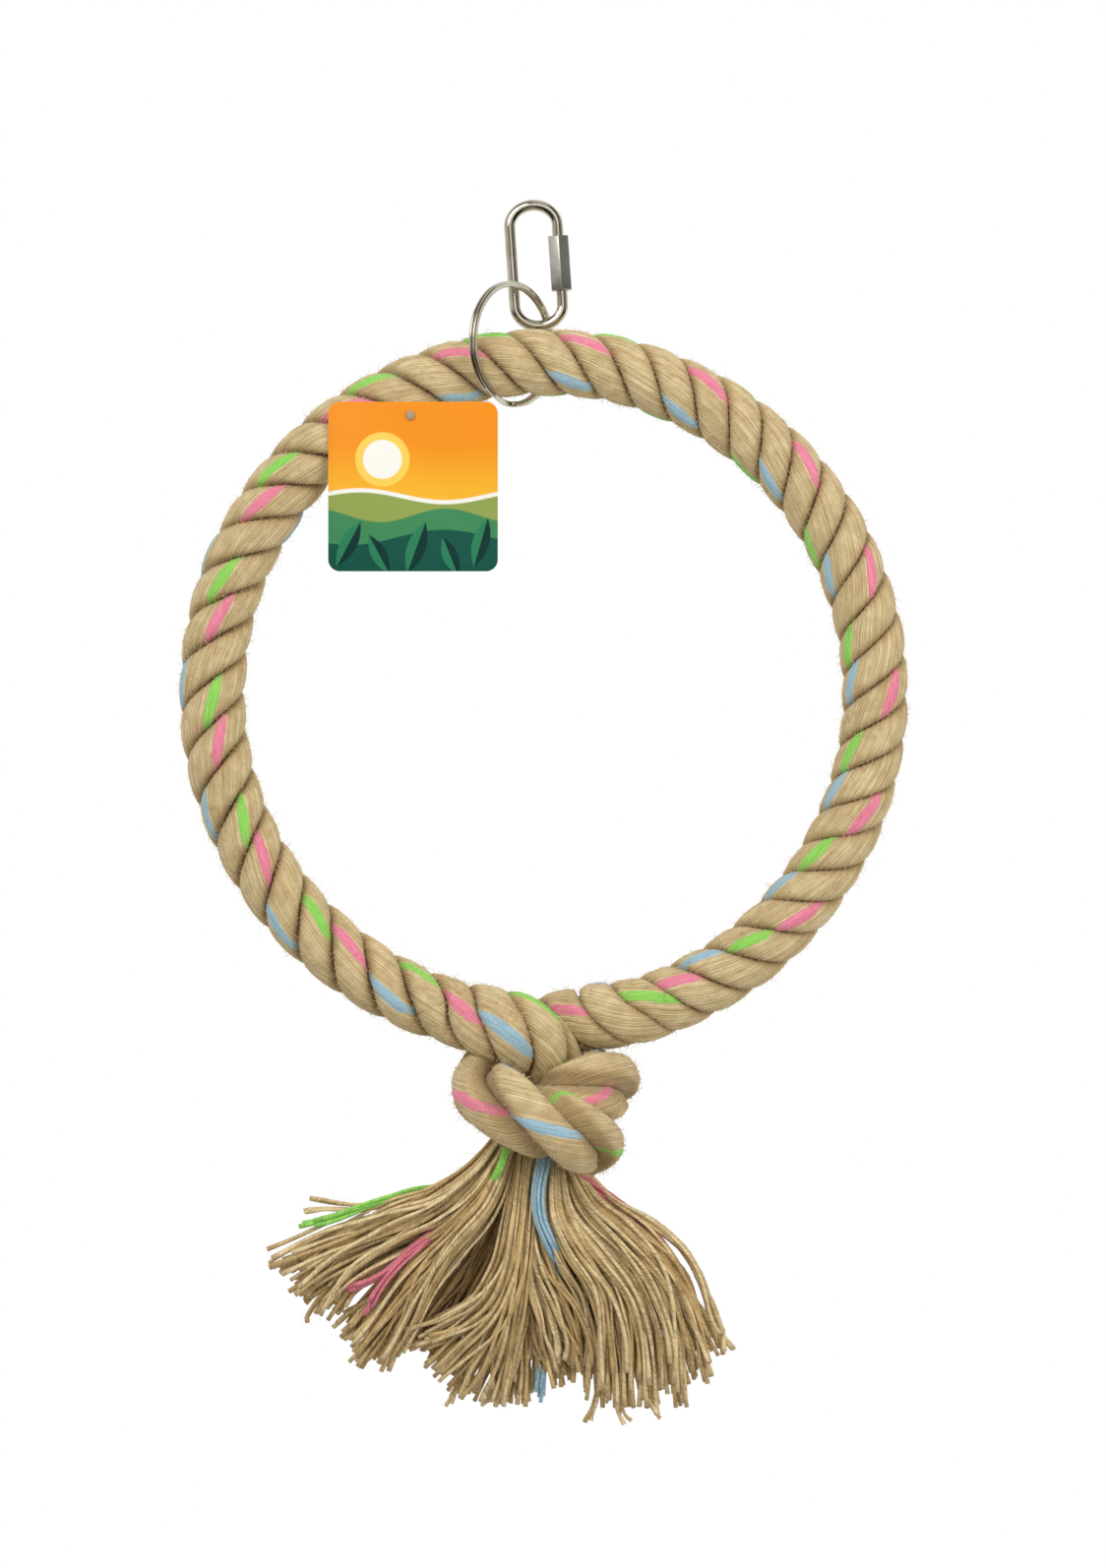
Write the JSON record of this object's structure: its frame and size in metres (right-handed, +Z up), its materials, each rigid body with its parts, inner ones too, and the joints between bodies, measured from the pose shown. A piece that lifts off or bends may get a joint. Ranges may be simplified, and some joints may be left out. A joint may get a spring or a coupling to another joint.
{
  "type": "jute parrot ring",
  "caption": "Hanging ring perch for a parrot: laid jute rope round a wire hoop, knotted below into a frayed tassel, hung by a split ring and a screw link, with a plain card tag.",
  "frame": {"origin": "where it hangs: the inside of the screw link's upper bow, in the link's own plane", "axes": "+Z up along the hanging line, +X to the viewer's right, -Y towards the viewer; the rope ring lies in a plane parallel to XZ, 10.9 mm in front of the link"},
  "size_m": [0.2494, 0.0633, 0.4187],
  "materials": {
    "jute": "matte hairy natural jute yarn with pink, lime green and pale blue tracer yarns",
    "nickel": "polished nickel plate",
    "nut_steel": "satin zinc plate",
    "core_steel": "plain drawn wire",
    "card": "printed coated card, orange over green",
    "nylon": "beige nylon"
  },
  "bodies": {
    "link": {"quick_link": "nickel"},
    "nut": {"quick_link_nut": "nut_steel"},
    "split_ring": {"split_ring": "nickel"},
    "rope_ring": {"ring_strand_pink": "jute", "ring_strand_green": "jute", "ring_strand_blue": "jute", "left_end_strand_pink": "jute", "left_end_strand_green": "jute", "left_end_strand_blue": "jute", "right_end_strand_pink": "jute", "right_end_strand_green": "jute", "right_end_strand_blue": "jute", "tassel_left_lock_green": "jute", "tassel_left_lock_pink": "jute", "tassel_left_lock_blue": "jute", "tassel_right_lock_blue": "jute", "tassel_right_lock_green": "jute", "tassel_right_lock_pink": "jute", "core_hoop": "core_steel", "tag_pin": "nylon"},
    "tag": {"hang_tag": "card"}
  },
  "joints": [
    {"name": "nut_run", "type": "slide", "parent": "link", "child": "nut", "axis": [0.0663, 0, -0.9978], "range_m": [0, 0.006]},
    {"name": "split_ring_swing", "type": "hinge", "parent": "link", "child": "split_ring", "pos_m": [0.0022, 0, -0.0329], "axis": [0, 1, 0], "range_deg": [-35, 35]},
    {"name": "rope_ring_tip", "type": "hinge", "parent": "split_ring", "child": "rope_ring", "pos_m": [-0.0068, -0.0109, -0.0537], "axis": [0.9956, 0, 0.0941], "range_deg": [-40, 40]},
    {"name": "tag_swing", "type": "hinge", "parent": "rope_ring", "child": "tag", "pos_m": [-0.0415, -0.0229, -0.07255], "axis": [0, 1, 0], "range_deg": [-6, 45]}
  ]
}
